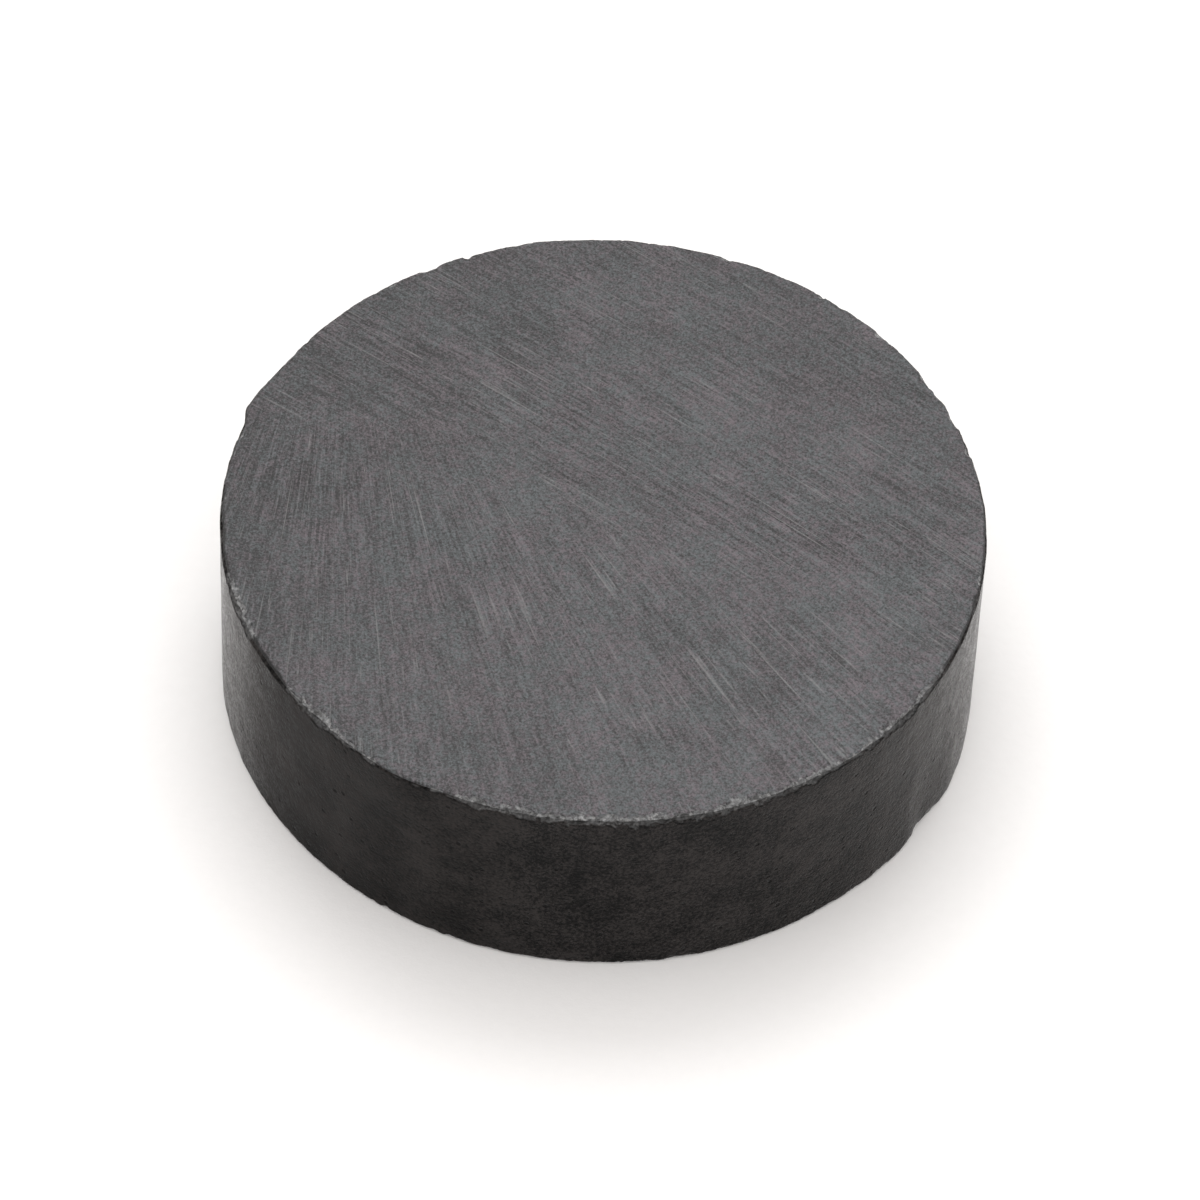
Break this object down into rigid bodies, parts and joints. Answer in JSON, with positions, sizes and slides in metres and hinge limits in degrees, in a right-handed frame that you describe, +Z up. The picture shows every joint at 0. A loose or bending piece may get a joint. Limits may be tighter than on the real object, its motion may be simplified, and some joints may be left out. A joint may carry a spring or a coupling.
{
  "type": "ferrite disc magnet",
  "caption": "Plain sintered ferrite disc magnet with ground flat faces, a fired dark wall and small chips along both rims.",
  "frame": {"origin": "centre of the lower flat face, on the surface the disc rests on", "axes": "+Z up through the disc's thickness, along its axis; +X and +Y lie in the lower face"},
  "size_m": [0.02, 0.02, 0.0059],
  "materials": {
    "sintered_ferrite": "satin, ground on the flat faces and as fired on the wall"
  },
  "bodies": {
    "root": {"ferrite_disc": "sintered_ferrite"}
  },
  "joints": []
}
